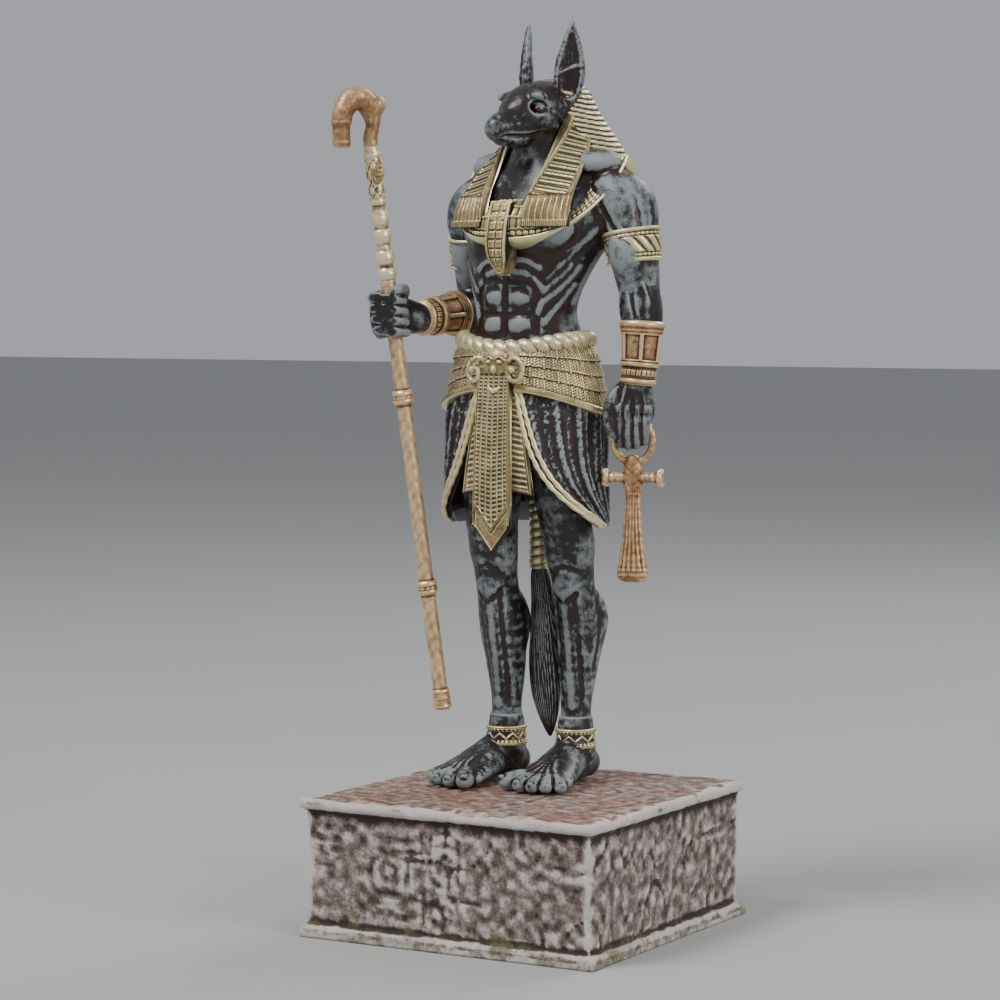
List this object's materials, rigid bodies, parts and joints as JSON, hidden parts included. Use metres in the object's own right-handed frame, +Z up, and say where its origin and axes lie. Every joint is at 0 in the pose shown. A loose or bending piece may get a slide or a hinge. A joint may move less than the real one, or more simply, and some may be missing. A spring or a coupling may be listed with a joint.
{
  "type": "standing jackal-headed statue",
  "caption": "Standing jackal-headed figure in a kilt and collar on a square stone plinth, one fist round a crook staff, the other holding an ankh.",
  "frame": {"origin": "centre of the plinth's underside", "axes": "+Z up, -Y is where the figure and the plinth's front face, +X is the figure's left"},
  "size_m": [0.12, 0.12, 0.33],
  "materials": {
    "stone": "cast resin painted as weathered stone, matt, with light worn edges and moss",
    "skin": "cast resin, glossy black skin with grey dry-brushed highs, antique gold cloth and trims",
    "gold": "antique gold with a copper-brown wash, half gloss"
  },
  "bodies": {
    "root": {"plinth": "stone", "figure": "skin", "staff": "gold", "ankh": "gold"}
  },
  "joints": []
}
